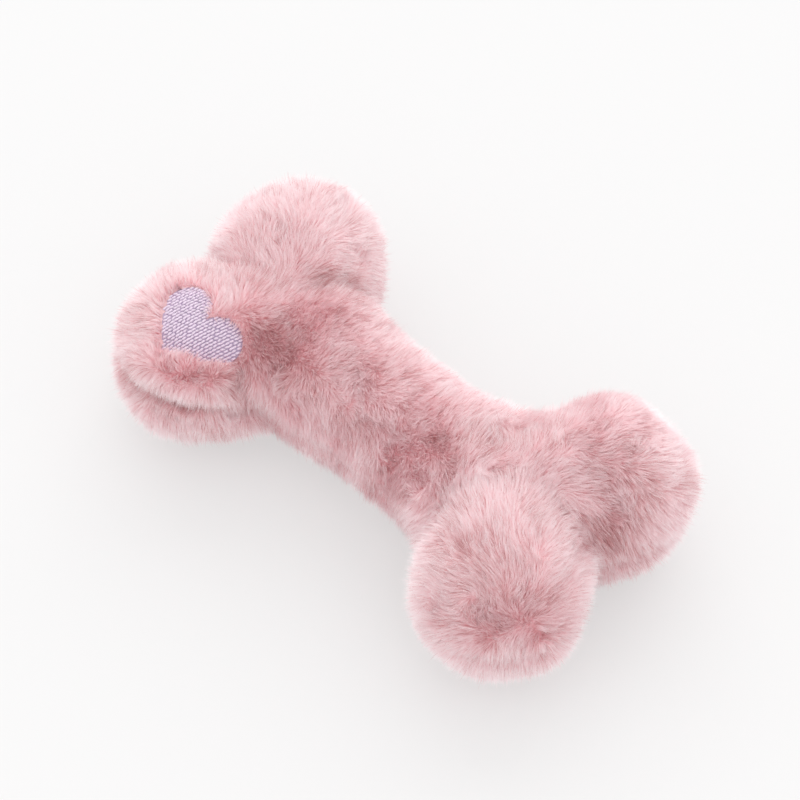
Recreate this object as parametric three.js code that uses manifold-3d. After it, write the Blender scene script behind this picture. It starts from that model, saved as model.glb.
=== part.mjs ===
// A bone-shaped plush dog toy with a squeaker inside, in millimetres.
// +Z is up, +X runs along the bone towards its plain end and +Y towards its back.
// The origin lies under the middle of the toy, on the surface that it rests on.
import * as THREE from 'three';
import { mergeVertices } from 'three/addons/utils/BufferGeometryUtils.js';
import Module from 'manifold-3d';

const wasm = await Module();
wasm.setup();

// The outer form, measured at the middle of the pile.
const toyLength = 230;
const knuckleRadiusX = 34.8;
const knuckleRadiusY = 35.2;
const knuckleRadiusZ = 35;
const knuckleSpacing = 58.5;
const shaftRadius = 29;
const shaftEndRadiusY = 37;
const shaftEndRadiusZ = 31;
const shaftEndShare = 0.87;
const pairBlendRadius = 8;
const shaftBlendRadius = 15;
const restDepth = 0.5;

// The cover: fur fabric, its turned-in seam and the clearances inside it.
const coverWall = 7;
const seamDepth = 1.5;
const seamWidth = 2;
const fitGap = 0.3;

// The ball joints on which the ends bend.
const bendToKnuckle = 60;
const ballRadius = 45;
const ballGap = 0.8;

// The embroidered heart and the sheet behind it.
const heartWidth = 34;
const heartLength = 33;
const heartSink = 3.2;
const heartThickness = 1;
const stabiliserThickness = 0.8;
const stabiliserMargin = 2;
const stabiliserGap = 0.4;

// The hand-sewn closing thread.
const threadDiameter = 0.7;
const closingLength = 50;
const stitchPitch = 4.2;
const stitchRise = 0.45;

// The squeaker.
const bulbDiameter = 30;
const bulbHeight = 22;
const bulbWall = 0.8;
const pleatDepth = 2.4;
const bulbEdge = 2;
const pocketLength = 44;
const sleeveDiameter = 9;
const sleeveWall = 0.9;
const sleeveLength = 10;
const flangeDiameter = 12;
const flangeThickness = 1;
const bedGap = 0.25;
const channelWidth = 1.6;
const channelDepth = 1.2;
const clampLength = 3.4;
const reedWidth = 2.4;
const reedLength = 8;
const reedThickness = 0.15;
const reedInset = 0.4;

// Every knuckle is stuffed a little differently: shares of the common size and of the place.
const knuckles = [
  { name: 'left_front', end: -1, side: -1, sizeShare: 1, alongShare: 1.005, acrossShare: 0.92 },
  { name: 'left_back', end: -1, side: 1, sizeShare: 1.012, alongShare: 0.99, acrossShare: 1.0 },
  { name: 'right_front', end: 1, side: -1, sizeShare: 0.99, alongShare: 1.003, acrossShare: 0.98 },
  { name: 'right_back', end: 1, side: 1, sizeShare: 1, alongShare: 1, acrossShare: 1.13 },
];
const heartLeanShares = [0.2, -0.27, 0.94];

// Counts of faces and of search steps.
const outerCounts = { round: 20, polar: 13, stations: 18 };
const innerCounts = { round: 16, polar: 10, stations: 14 };
const ballRoundCount = 24;
const ballRingCount = 7;
const squeakerCount = 16;
const pleatCount = 3;
const heartPointCount = 24;
const threadSideCount = 3;
const stepsPerStitch = 3;
const searchCount = 30;
const halvingCount = 24;

// Worked out from the sizes above.
const centreHeight = knuckleRadiusZ - restDepth;
const knuckleX = toyLength / 2 - knuckleRadiusX;
const shaftHalfLength = knuckleX * shaftEndShare;
const bendCentreX = knuckleX - bendToKnuckle;
const searchReach = knuckleRadiusX + knuckleSpacing / 2;
const fillingLevel = -coverWall - fitGap;
const seamLap = fitGap / 3;
const bulbBase = centreHeight - bulbHeight / 2;
const bulbTop = bulbBase + bulbHeight;
const flangeBase = bulbBase - fitGap - flangeThickness;
const far = toyLength;

for (const knuckle of knuckles) {
  knuckle.radii = new THREE.Vector3(knuckleRadiusX, knuckleRadiusY, knuckleRadiusZ);
  knuckle.radii.multiplyScalar(knuckle.sizeShare);
  knuckle.centre = new THREE.Vector3(
    knuckle.end * knuckleX * knuckle.alongShare,
    knuckle.side * knuckleSpacing / 2 * knuckle.acrossShare,
    knuckle.radii.z - restDepth,
  );
}

// The least of two distances, rounded where they are alike.
function smoothLeast(first, second, radius) {
  const nearness = Math.max(radius - Math.abs(first - second), 0) / radius;
  return Math.min(first, second) - nearness * nearness * radius / 4;
}

function knuckleDistance(point, knuckle) {
  const scaled = point.clone().sub(knuckle.centre).divide(knuckle.radii);
  const share = scaled.length();
  return share * (share - 1) / scaled.divide(knuckle.radii).length();
}

// The shaft is a round bar that widens towards both ends and flattens there.
function shaftDistance(point) {
  const station = THREE.MathUtils.clamp(point.x, -shaftHalfLength, shaftHalfLength);
  const endShare = (station / shaftHalfLength) ** 2;
  const radiusY = THREE.MathUtils.lerp(shaftRadius, shaftEndRadiusY, endShare);
  const radiusZ = THREE.MathUtils.lerp(shaftRadius, shaftEndRadiusZ, endShare);
  const rise = (point.z - centreHeight) * radiusY / radiusZ;
  return (Math.hypot(point.x - station, point.y, rise) - radiusY) * radiusZ / radiusY;
}

// The distance from the toy's outer form, negative inside it.
function formDistance(point) {
  const [first, second, third, fourth] = knuckles.map((knuckle) => knuckleDistance(point, knuckle));
  const leftPair = smoothLeast(first, second, pairBlendRadius);
  const rightPair = smoothLeast(third, fourth, pairBlendRadius);
  const leftAndShaft = smoothLeast(leftPair, shaftDistance(point), shaftBlendRadius);
  return smoothLeast(leftAndShaft, rightPair, shaftBlendRadius);
}

// The place on a ray where the form's distance first reaches a level.
function crossing(start, direction, level) {
  const isOutside = (reach) => formDistance(start.clone().addScaledVector(direction, reach)) > level;
  let inner = 0;
  let outer = searchReach;
  for (let step = 1; step <= searchCount; step += 1) {
    const reach = searchReach * step / searchCount;
    if (isOutside(reach)) {
      outer = reach;
      break;
    }
    inner = reach;
  }
  for (let halving = 0; halving < halvingCount; halving += 1) {
    const middle = (inner + outer) / 2;
    if (isOutside(middle)) {
      outer = middle;
    } else {
      inner = middle;
    }
  }
  return start.clone().addScaledVector(direction, inner);
}

function outwardAt(point) {
  const slope = (axis) => {
    const step = axis.multiplyScalar(fitGap);
    return formDistance(point.clone().add(step)) - formDistance(point.clone().sub(step));
  };
  return new THREE.Vector3(
    slope(new THREE.Vector3(1, 0, 0)),
    slope(new THREE.Vector3(0, 1, 0)),
    slope(new THREE.Vector3(0, 0, 1)),
  ).normalize();
}

// Solids from geometry.
function solidFrom(geometry) {
  const bare = geometry.clone();
  bare.deleteAttribute('normal');
  bare.deleteAttribute('uv');
  const merged = mergeVertices(bare);
  return new wasm.Manifold(new wasm.Mesh({
    numProp: 3,
    vertProperties: new Float32Array(merged.attributes.position.array),
    triVerts: new Uint32Array(merged.index.array),
  }));
}

// Closes rings of equally many points, from one end point to the other, into a solid.
function ringsSolid(startPoint, rings, endPoint) {
  const points = [startPoint, ...rings.flat(), endPoint];
  const width = rings[0].length;
  const last = points.length - 1;
  const faces = [];
  for (let side = 0; side < width; side += 1) {
    const next = (side + 1) % width;
    faces.push(0, 1 + next, 1 + side);
    for (let ring = 0; ring < rings.length - 1; ring += 1) {
      const low = 1 + ring * width;
      const high = low + width;
      faces.push(low + side, low + next, high + next);
      faces.push(low + side, high + next, high + side);
    }
    faces.push(last, last - width + side, last - width + next);
  }
  const geometry = new THREE.BufferGeometry().setFromPoints(points);
  geometry.setIndex(faces);
  return solidFrom(geometry);
}

// The inside of the cover and all that it holds have fewer faces than the outside.
const countsAt = (level) => (level > -coverWall ? outerCounts : innerCounts);

// The form as a knuckle's centre sees it, at a level inside the outer form.
function knuckleSolid(knuckle, level) {
  const counts = countsAt(level);
  const along = (polar, turn) => {
    const direction = new THREE.Vector3().setFromSphericalCoords(1, Math.PI - polar, turn);
    const upright = new THREE.Vector3(direction.z, direction.x, direction.y);
    return crossing(knuckle.centre, upright, level);
  };
  const rings = [];
  for (let row = 1; row < counts.polar; row += 1) {
    const ring = [];
    for (let side = 0; side < counts.round; side += 1) {
      ring.push(along(Math.PI * row / counts.polar, 2 * Math.PI * side / counts.round));
    }
    rings.push(ring);
  }
  return ringsSolid(along(0, 0), rings, along(Math.PI, 0));
}

// The form as sections across the shaft, at a level inside the outer form.
function shaftSolid(level) {
  const counts = countsAt(level);
  const reach = bendCentreX + ballRadius + ballGap;
  const rings = [];
  for (let station = 0; station <= counts.stations; station += 1) {
    const centre = new THREE.Vector3(reach * (2 * station / counts.stations - 1), 0, centreHeight);
    const ring = [];
    for (let side = 0; side < counts.round; side += 1) {
      const turn = 2 * Math.PI * (side + 1 / 2) / counts.round;
      ring.push(crossing(centre, new THREE.Vector3(0, Math.cos(turn), Math.sin(turn)), level));
    }
    rings.push(ring);
  }
  const endPoint = (side) => new THREE.Vector3(side * reach, 0, centreHeight);
  return ringsSolid(endPoint(-1), rings, endPoint(1));
}

// The room of the shaft between its two ball ends.
function ballBar(radius) {
  const rings = [];
  for (const end of [-1, 1]) {
    for (let row = 0; row < ballRingCount; row += 1) {
      const polar = Math.PI / 2 * (end < 0 ? row + 1 : row) / ballRingCount;
      const along = end < 0 ? -Math.cos(polar) : Math.sin(polar);
      const across = radius * (end < 0 ? Math.sin(polar) : Math.cos(polar));
      const ring = [];
      for (let side = 0; side < ballRoundCount; side += 1) {
        const turn = 2 * Math.PI * side / ballRoundCount;
        ring.push(new THREE.Vector3(
          end * bendCentreX + radius * along,
          across * Math.cos(turn),
          centreHeight + across * Math.sin(turn),
        ));
      }
      rings.push(ring);
    }
  }
  const endPoint = (end) => new THREE.Vector3(end * (bendCentreX + radius), 0, centreHeight);
  return ringsSolid(endPoint(-1), rings, endPoint(1));
}

function boxBetween(low, high) {
  const size = high.clone().sub(low);
  const middle = high.clone().add(low).multiplyScalar(1 / 2);
  return solidFrom(new THREE.BoxGeometry(size.x, size.y, size.z).translate(middle.x, middle.y, middle.z));
}

function uprightCylinder(diameter, low, high) {
  const geometry = new THREE.CylinderGeometry(diameter / 2, diameter / 2, high - low, squeakerCount);
  geometry.rotateX(Math.PI / 2);
  return solidFrom(geometry.translate(0, 0, (low + high) / 2));
}

const aboveSeam = boxBetween(
  new THREE.Vector3(-far, -far, centreHeight + seamWidth / 2 + fitGap),
  new THREE.Vector3(far, far, far),
);
const belowSeam = boxBetween(
  new THREE.Vector3(-far, -far, 0),
  new THREE.Vector3(far, far, centreHeight - seamWidth / 2 - fitGap),
);
const seamSlab = boxBetween(
  new THREE.Vector3(-far, -far, centreHeight - seamWidth / 2),
  new THREE.Vector3(far, far, centreHeight + seamWidth / 2),
);

// The quarter of the space that holds a knuckle, its inner face a step away from the middle.
function quarterOf(knuckle, step) {
  const near = knuckle.side * step;
  const yRange = [near, knuckle.side * far].sort((first, second) => first - second);
  const xRange = [0, knuckle.end * far].sort((first, second) => first - second);
  return boxBetween(
    new THREE.Vector3(xRange[0], yRange[0], 0),
    new THREE.Vector3(xRange[1], yRange[1], far),
  );
}

function halfSpaceY(side) {
  const yRange = [0, side * far].sort((first, second) => first - second);
  return boxBetween(new THREE.Vector3(-far, yRange[0], 0), new THREE.Vector3(far, yRange[1], far));
}

const materials = {
  plush: new THREE.MeshStandardMaterial({ color: 0xdeb1b4, roughness: 0.95, metalness: 0 }),
  seam: new THREE.MeshStandardMaterial({ color: 0xc08e93, roughness: 0.95, metalness: 0 }),
  heart: new THREE.MeshStandardMaterial({ color: 0xd9bacb, roughness: 0.6, metalness: 0 }),
  stabiliser: new THREE.MeshStandardMaterial({ color: 0xf1efec, roughness: 0.9, metalness: 0 }),
  thread: new THREE.MeshStandardMaterial({ color: 0xcf9aa2, roughness: 0.7, metalness: 0 }),
  filling: new THREE.MeshStandardMaterial({ color: 0xf4f3f0, roughness: 1, metalness: 0 }),
  bulb: new THREE.MeshStandardMaterial({ color: 0xe4e8ea, roughness: 0.45, metalness: 0 }),
  sleeve: new THREE.MeshStandardMaterial({ color: 0xf2f2ee, roughness: 0.4, metalness: 0 }),
  reed: new THREE.MeshStandardMaterial({ color: 0xc9b27a, roughness: 0.3, metalness: 0 }),
};

const toy = new THREE.Group();

function addPiece(name, solid, material) {
  const shape = solid.getMesh();
  const geometry = new THREE.BufferGeometry();
  geometry.setAttribute('position', new THREE.BufferAttribute(new Float32Array(shape.vertProperties), 3));
  geometry.setIndex(new THREE.BufferAttribute(new Uint32Array(shape.triVerts), 1));
  geometry.computeVertexNormals();
  const mesh = new THREE.Mesh(geometry, material);
  mesh.name = name;
  toy.add(mesh);
}

// The heart lies on the top of the near left knuckle, its tip towards the front.
const heartKnuckle = knuckles[0];
const heartCentre = crossing(heartKnuckle.centre, new THREE.Vector3(...heartLeanShares).normalize(), 0);
const heartOut = outwardAt(heartCentre);
const heartAcross = new THREE.Vector3(0, 1, 0).cross(heartOut).normalize();
const heartUp = heartOut.clone().cross(heartAcross);

// An upright prism on the heart's outline, widened by a margin.
function heartPrism(margin) {
  const outline = new THREE.Shape();
  for (let step = 0; step < heartPointCount; step += 1) {
    const turn = 2 * Math.PI * step / heartPointCount;
    const acrossShare = Math.sin(turn) ** 3;
    const upShares = [13, -5, -2, -1].map((share, order) => share * Math.cos((order + 1) * turn) / 29);
    const upShare = upShares.reduce((sum, share) => sum + share, 0);
    const across = acrossShare * (heartWidth / 2 + margin);
    const up = upShare * (heartLength + 2 * margin) + margin / 2;
    if (step === 0) {
      outline.moveTo(across, up);
    } else {
      outline.lineTo(across, up);
    }
  }
  const depth = knuckleRadiusZ;
  const geometry = new THREE.ExtrudeGeometry(outline, { depth, bevelEnabled: false });
  geometry.translate(0, 0, -depth + coverWall);
  geometry.applyMatrix4(new THREE.Matrix4().makeBasis(heartAcross, heartUp, heartOut));
  geometry.translate(heartCentre.x, heartCentre.y, heartCentre.z);
  return solidFrom(geometry);
}

// The cover, the turned-in seam and the filling of the four knuckles.
const ballSocket = ballBar(ballRadius + ballGap);
const seamLevel = -seamDepth;
const seamParts = { left: [], right: [] };
for (const knuckle of knuckles) {
  const quarter = quarterOf(knuckle, fitGap / 2).subtract(ballSocket);
  const inner = knuckleSolid(knuckle, -coverWall);
  const shell = knuckleSolid(knuckle, 0).subtract(inner).intersect(quarter);
  let topShell = shell.intersect(aboveSeam);
  let filling = knuckleSolid(knuckle, fillingLevel).intersect(quarter);
  if (knuckle === heartKnuckle) {
    const recessFloor = knuckleSolid(knuckle, -heartSink - heartThickness - fitGap);
    const heartTop = knuckleSolid(knuckle, -heartSink);
    const heartBase = knuckleSolid(knuckle, -heartSink - heartThickness);
    topShell = topShell.subtract(heartPrism(fitGap).subtract(recessFloor));
    addPiece('heart_embroidery', heartPrism(0).intersect(heartTop).subtract(heartBase), materials.heart);

    const sheetTop = knuckleSolid(knuckle, -coverWall - stabiliserGap);
    const sheetBase = knuckleSolid(knuckle, -coverWall - stabiliserGap - stabiliserThickness);
    const fillingTop = knuckleSolid(knuckle, fillingLevel - stabiliserGap - stabiliserThickness);
    const sheetOutline = heartPrism(stabiliserMargin).intersect(quarter).intersect(aboveSeam);
    addPiece('heart_stabiliser', sheetOutline.intersect(sheetTop).subtract(sheetBase), materials.stabiliser);
    filling = filling.subtract(heartPrism(stabiliserMargin + fitGap).subtract(fillingTop));
  }
  addPiece(`plush_knuckle_${knuckle.name}_top`, topShell, materials.plush);
  addPiece(`plush_knuckle_${knuckle.name}_bottom`, shell.intersect(belowSeam), materials.plush);
  addPiece(`filling_knuckle_${knuckle.name}`, filling, materials.filling);

  const seamRoom = quarterOf(knuckle, -seamLap).subtract(ballSocket).intersect(seamSlab);
  const seamBand = knuckleSolid(knuckle, seamLevel).subtract(inner).intersect(seamRoom);
  seamParts[knuckle.end < 0 ? 'left' : 'right'].push(seamBand);
}
for (const [end, [frontBand, backBand]] of Object.entries(seamParts)) {
  addPiece(`seam_allowance_${end}_end`, frontBand.add(backBand), materials.seam);
}

// The cover and the seam of the shaft.
const shaftRoom = ballBar(ballRadius);
const shaftInner = shaftSolid(-coverWall);
const shaftShell = shaftSolid(0).subtract(shaftInner).intersect(shaftRoom);
addPiece('plush_shaft_top', shaftShell.intersect(aboveSeam), materials.plush);
addPiece('plush_shaft_bottom', shaftShell.intersect(belowSeam), materials.plush);
const shaftSeam = shaftSolid(seamLevel).subtract(shaftInner).intersect(shaftRoom).intersect(seamSlab);
addPiece('seam_allowance_shaft_front', shaftSeam.intersect(halfSpaceY(-1)), materials.seam);
addPiece('seam_allowance_shaft_back', shaftSeam.intersect(halfSpaceY(1)), materials.seam);

// The closing thread zigzags across the seam's groove at the back of the shaft.
function closingThread() {
  const sink = seamDepth - fitGap - threadDiameter / 2;
  const stitchCount = Math.round(closingLength / stitchPitch);
  const points = [];
  for (let stitch = 0; stitch <= stitchCount; stitch += 1) {
    const x = closingLength * (stitch / stitchCount - 1 / 2);
    const rise = stitch % 2 ? stitchRise : -stitchRise;
    const start = new THREE.Vector3(x, 0, centreHeight + rise);
    points.push(crossing(start, new THREE.Vector3(0, 1, 0), -sink));
  }
  const outline = new THREE.Shape();
  outline.absarc(0, 0, threadDiameter / 2, 0, 2 * Math.PI);
  return solidFrom(new THREE.ExtrudeGeometry(outline, {
    curveSegments: threadSideCount,
    steps: stitchCount * stepsPerStitch,
    extrudePath: new THREE.CatmullRomCurve3(points),
  }));
}
addPiece('closing_thread', closingThread(), materials.thread);

// The filling of the shaft, with the squeaker's pocket in its middle.
const shaftFilling = shaftSolid(fillingLevel).intersect(shaftRoom);
const pocketHalf = pocketLength / 2;

function fillingBetween(lowX, highX, lowZ, highZ) {
  return shaftFilling.intersect(boxBetween(
    new THREE.Vector3(lowX, -far, lowZ),
    new THREE.Vector3(highX, far, highZ),
  ));
}
const flangeRoom = uprightCylinder(flangeDiameter + 2 * fitGap, flangeBase - fitGap, bulbBase + fitGap);
const bulbRoom = uprightCylinder(bulbDiameter + 2 * fitGap, bulbBase - fitGap, bulbTop + fitGap);
const nestBase = bulbBase - fitGap;
const nestTop = bulbTop + fitGap;
addPiece('filling_shaft_left', fillingBetween(-far, -pocketHalf - fitGap, 0, far), materials.filling);
addPiece('filling_shaft_right', fillingBetween(pocketHalf + fitGap, far, 0, far), materials.filling);
addPiece(
  'filling_shaft_lower',
  fillingBetween(-pocketHalf, pocketHalf, 0, nestBase).subtract(flangeRoom),
  materials.filling,
);
addPiece(
  'filling_squeaker_collar',
  fillingBetween(-pocketHalf, pocketHalf, nestBase + fitGap, nestTop - fitGap).subtract(bulbRoom),
  materials.filling,
);
addPiece('filling_shaft_upper', fillingBetween(-pocketHalf, pocketHalf, nestTop, far), materials.filling);

// The bulb is a thin pleated bottle that stands on its open mouth.
function bulbSolid() {
  const pleatRadius = (fold) => bulbDiameter / 2 - (fold % 2 ? pleatDepth : 0);
  const foldCount = 2 * pleatCount;
  const foldHeight = (fold) => {
    const run = bulbHeight - 2 * bulbEdge;
    return bulbHeight - bulbEdge - run * fold / foldCount;
  };
  const mouthRadius = sleeveDiameter / 2 + fitGap;
  const endRadius = bulbDiameter / 2 - bulbEdge;
  const outline = [[0, bulbHeight], [endRadius, bulbHeight]];
  for (let fold = 0; fold <= foldCount; fold += 1) {
    outline.push([pleatRadius(fold), foldHeight(fold)]);
  }
  outline.push([endRadius, 0], [mouthRadius, 0]);
  outline.push([mouthRadius, bulbWall], [endRadius - bulbWall / 2, bulbWall]);
  for (let fold = foldCount; fold >= 0; fold -= 1) {
    outline.push([pleatRadius(fold) - bulbWall, foldHeight(fold)]);
  }
  outline.push([endRadius - bulbWall / 2, bulbHeight - bulbWall], [0, bulbHeight - bulbWall]);
  const points = outline.reverse().map(([radius, height]) => new THREE.Vector2(radius, height));
  const geometry = new THREE.LatheGeometry(points, squeakerCount);
  geometry.rotateX(Math.PI / 2);
  return solidFrom(geometry.translate(0, 0, bulbBase));
}
addPiece('squeaker_bulb', bulbSolid(), materials.bulb);

// The sleeve stands in the bulb's mouth, and its flange closes the mouth from below.
const sleeveTop = flangeBase + sleeveLength;
const boreDiameter = sleeveDiameter - 2 * sleeveWall;
const flange = uprightCylinder(flangeDiameter, flangeBase, flangeBase + flangeThickness);
const sleeveBore = uprightCylinder(boreDiameter, flangeBase - flangeThickness, sleeveTop + flangeThickness);
const sleeve = uprightCylinder(sleeveDiameter, flangeBase, sleeveTop).add(flange).subtract(sleeveBore);
addPiece('squeaker_sleeve', sleeve, materials.sleeve);

// The bed and the clamp are the two halves of a plug that fills the sleeve.
const plugGap = reedThickness / 2 + bedGap;
function halfPlug(side, height) {
  const plug = uprightCylinder(boreDiameter - 2 * fitGap, flangeBase, flangeBase + height);
  const near = side * plugGap;
  const yRange = [near, side * boreDiameter].sort((first, second) => first - second);
  return plug.intersect(boxBetween(
    new THREE.Vector3(-boreDiameter, yRange[0], 0),
    new THREE.Vector3(boreDiameter, yRange[1], far),
  ));
}
const bedHeight = sleeveLength - reedInset;
const channel = boxBetween(
  new THREE.Vector3(-channelWidth / 2, -plugGap - channelDepth, flangeBase + clampLength),
  new THREE.Vector3(channelWidth / 2, 0, far),
);
addPiece('squeaker_reed_bed', halfPlug(-1, bedHeight).subtract(channel), materials.sleeve);
addPiece('squeaker_reed_clamp', halfPlug(1, clampLength), materials.sleeve);
addPiece(
  'squeaker_reed',
  boxBetween(
    new THREE.Vector3(-reedWidth / 2, -reedThickness / 2, flangeBase + reedInset),
    new THREE.Vector3(reedWidth / 2, reedThickness / 2, flangeBase + reedInset + reedLength),
  ),
  materials.reed,
);

// The knuckles aren't quite even, so the toy is moved until its outline lies evenly about the origin.
const middle = new THREE.Box3().setFromObject(toy).getCenter(new THREE.Vector3());
toy.position.set(-middle.x, -middle.y, 0);

export default toy;
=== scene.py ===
import math

import bmesh
import bpy
import numpy as np
from mathutils import Matrix, Vector


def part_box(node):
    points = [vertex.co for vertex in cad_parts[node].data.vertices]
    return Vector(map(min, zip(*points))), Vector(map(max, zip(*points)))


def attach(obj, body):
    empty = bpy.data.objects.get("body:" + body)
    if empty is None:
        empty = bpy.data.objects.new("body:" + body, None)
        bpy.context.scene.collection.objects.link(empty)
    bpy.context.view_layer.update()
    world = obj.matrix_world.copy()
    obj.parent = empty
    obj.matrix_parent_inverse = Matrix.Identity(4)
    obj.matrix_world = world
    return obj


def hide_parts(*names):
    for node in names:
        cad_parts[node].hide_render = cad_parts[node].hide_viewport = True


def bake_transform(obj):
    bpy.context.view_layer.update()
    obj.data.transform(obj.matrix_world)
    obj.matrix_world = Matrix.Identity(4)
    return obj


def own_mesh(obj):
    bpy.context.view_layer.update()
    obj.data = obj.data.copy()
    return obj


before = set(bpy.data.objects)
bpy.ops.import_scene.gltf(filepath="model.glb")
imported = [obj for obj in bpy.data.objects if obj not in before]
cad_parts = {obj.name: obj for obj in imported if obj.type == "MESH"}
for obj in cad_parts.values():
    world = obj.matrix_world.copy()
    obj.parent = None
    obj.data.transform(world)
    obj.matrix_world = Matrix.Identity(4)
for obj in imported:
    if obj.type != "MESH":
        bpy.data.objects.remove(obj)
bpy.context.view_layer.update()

# Shapes are worked out in millimetres about the squeaker's upright axis, and moved to where that axis stands.
mm = 0.001
axisLow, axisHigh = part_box("squeaker_sleeve")
axisPlace = np.array([(axisLow.x + axisHigh.x) / 2, (axisLow.y + axisHigh.y) / 2, 0])

# The bone's form, measured at the middle of the pile.
bone = dict(length=230, knuckleRadii=(34.8, 35.2, 35), knuckleSpacing=58.5, restDepth=0.5,
            shaftRadius=29, shaftEndRadii=(37, 31), shaftEndShare=0.87, pairBlend=8, shaftBlend=15)
knuckleTable = [
    dict(name="left_front", end=-1, side=-1, sizeShare=1, alongShare=1.005, acrossShare=0.92),
    dict(name="left_back", end=-1, side=1, sizeShare=1.012, alongShare=0.99, acrossShare=1),
    dict(name="right_front", end=1, side=-1, sizeShare=0.99, alongShare=1.003, acrossShare=0.98),
    dict(name="right_back", end=1, side=1, sizeShare=1, alongShare=1, acrossShare=1.13),
]
knuckleX = bone["length"] / 2 - bone["knuckleRadii"][0]
centreHeight = bone["knuckleRadii"][2] - bone["restDepth"]
for knuckle in knuckleTable:
    knuckle["radii"] = np.array(bone["knuckleRadii"]) * knuckle["sizeShare"]
    knuckle["centre"] = np.array([
        knuckle["end"] * knuckleX * knuckle["alongShare"],
        knuckle["side"] * bone["knuckleSpacing"] / 2 * knuckle["acrossShare"],
        knuckle["radii"][2] - bone["restDepth"],
    ])


def stack(*parts):
    # coordinates, each an array or a number, as one array of points
    return np.stack(np.broadcast_arrays(*parts), axis=-1)


def unit(vectors):
    return vectors / np.maximum(np.linalg.norm(vectors, axis=-1, keepdims=True), 1e-9)


def flatten(vectors, normals):
    # what is left of vectors in the planes square to the normals
    return vectors - normals * (vectors * normals).sum(-1, keepdims=True)


def smoothLeast(first, second, radius):
    # the least of two distances, less a rounding where they are alike
    likeness = np.maximum(radius - np.abs(first - second), 0) / radius
    return np.minimum(first, second) - likeness**2 * radius / 4


def smoothStep(values, low, high):
    share = np.clip((values - low) / (high - low), 0, 1)
    return share * share * (3 - 2 * share)


def bell(gaps, width):
    return np.exp(-((gaps / width) ** 2))


def nearness(points, place, reach):
    return np.exp(-((points - np.array(place)) ** 2).sum(-1) / (2 * reach**2))


def knuckleDistance(points, knuckle):
    # an ellipsoid: its scaled length k gives k (k - 1) over the length of the slope
    scaled = (points - knuckle["centre"]) / knuckle["radii"]
    share = np.linalg.norm(scaled, axis=-1)
    return share * (share - 1) / np.maximum(np.linalg.norm(scaled / knuckle["radii"], axis=-1), 1e-9)


def shaftDistance(points, endShare):
    # a round bar that widens and flattens towards both ends
    reach = knuckleX * endShare
    station = np.clip(points[..., 0], -reach, reach)
    radiusY, radiusZ = [
        bone["shaftRadius"] + (endRadius - bone["shaftRadius"]) * (station / reach) ** 2
        for endRadius in bone["shaftEndRadii"]
    ]
    rise = (points[..., 2] - centreHeight) * radiusY / radiusZ
    gap = np.sqrt((points[..., 0] - station) ** 2 + points[..., 1] ** 2 + rise**2) - radiusY
    return gap * radiusZ / radiusY


def formDistance(points, pairBlend=bone["pairBlend"], endShare=bone["shaftEndShare"]):
    first, second, third, fourth = [knuckleDistance(points, knuckle) for knuckle in knuckleTable]
    left = smoothLeast(first, second, pairBlend)
    right = smoothLeast(third, fourth, pairBlend)
    body = smoothLeast(left, shaftDistance(points, endShare), bone["shaftBlend"])
    return smoothLeast(body, right, bone["shaftBlend"])


def slopeOf(distance, points, step=0.4):
    # the outward direction: the slope of the distance, by differences along the three axes
    return unit(stack(*[distance(points + axis) - distance(points - axis) for axis in step * np.eye(3)]))


def firstCrossing(starts, directions, distance, reach, steps=40, halvings=14):
    # walks every ray outwards until the distance turns positive, then halves the last step
    shape = starts.shape
    starts, directions = starts.reshape(-1, 3), directions.reshape(-1, 3)
    inner, outer = np.zeros(len(starts)), np.full(len(starts), float(reach))
    walking = np.arange(len(starts))
    for step in range(1, steps + 1):
        depth = reach * step / steps
        outside = distance(starts[walking] + directions[walking] * depth) > 0
        outer[walking[outside]] = depth
        walking = walking[~outside]
        inner[walking] = depth
    for halving in range(halvings):
        middle = (inner + outer) / 2
        outside = distance(starts + directions * middle[:, None]) > 0
        outer = np.where(outside, middle, outer)
        inner = np.where(outside, inner, middle)
    return (starts + directions * inner[:, None]).reshape(shape)


def waves(points, length, seed, count=14):
    # an even random field: a sum of plane waves of about this length, in every direction
    draw = np.random.default_rng(seed)
    headings = unit(draw.normal(size=(count, 3)))
    numbers = 2 * np.pi / (length * draw.uniform(0.7, 1.4, count))
    phases = draw.uniform(0, 2 * np.pi, count)
    return np.cos(points @ (headings * numbers[:, None]).T + phases).sum(-1) * math.sqrt(2 / count)


def waveVectors(points, length, seed):
    return stack(*[waves(points, length, seed + part) for part in range(3)])


def hashShares(cells, seed):
    # three even shares for each cell of a lattice, by mixing the bits of its three numbers
    mixed = np.zeros(cells.shape[:-1], np.uint64) + np.uint64(seed * 2654435761 % 2**32)
    for part, factor in enumerate((73856093, 19349663, 83492791)):
        mixed = mixed ^ ((cells[..., part] + 100000).astype(np.uint64) * np.uint64(factor))
    shares = []
    for part in range(3):
        for shift, factor in ((15, 2246822519), (13, 3266489917)):
            mixed = (mixed ^ (mixed >> np.uint64(shift))) * np.uint64(factor) % np.uint64(2**32)
        shares.append((mixed ^ (mixed >> np.uint64(16))).astype(float) / 2**32)
    return stack(*shares)


def nearestLock(points, size, seed):
    # the nearest of scattered points, one in each cell of a cubic lattice, and a share of its own
    home = np.floor(points / size).astype(np.int64)
    nearest = np.full(len(points), np.inf)
    centre = points.copy()
    share = np.zeros(len(points))
    for step in np.ndindex(3, 3, 3):
        cell = home + np.array(step) - 1
        jitter = hashShares(cell, seed)
        place = (cell + jitter) * size
        gap = ((place - points) ** 2).sum(-1)
        nearer = gap < nearest
        nearest[nearer] = gap[nearer]
        centre[nearer] = place[nearer]
        share[nearer] = (jitter[nearer].sum(-1) * 7.31) % 1
    return centre, share


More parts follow.
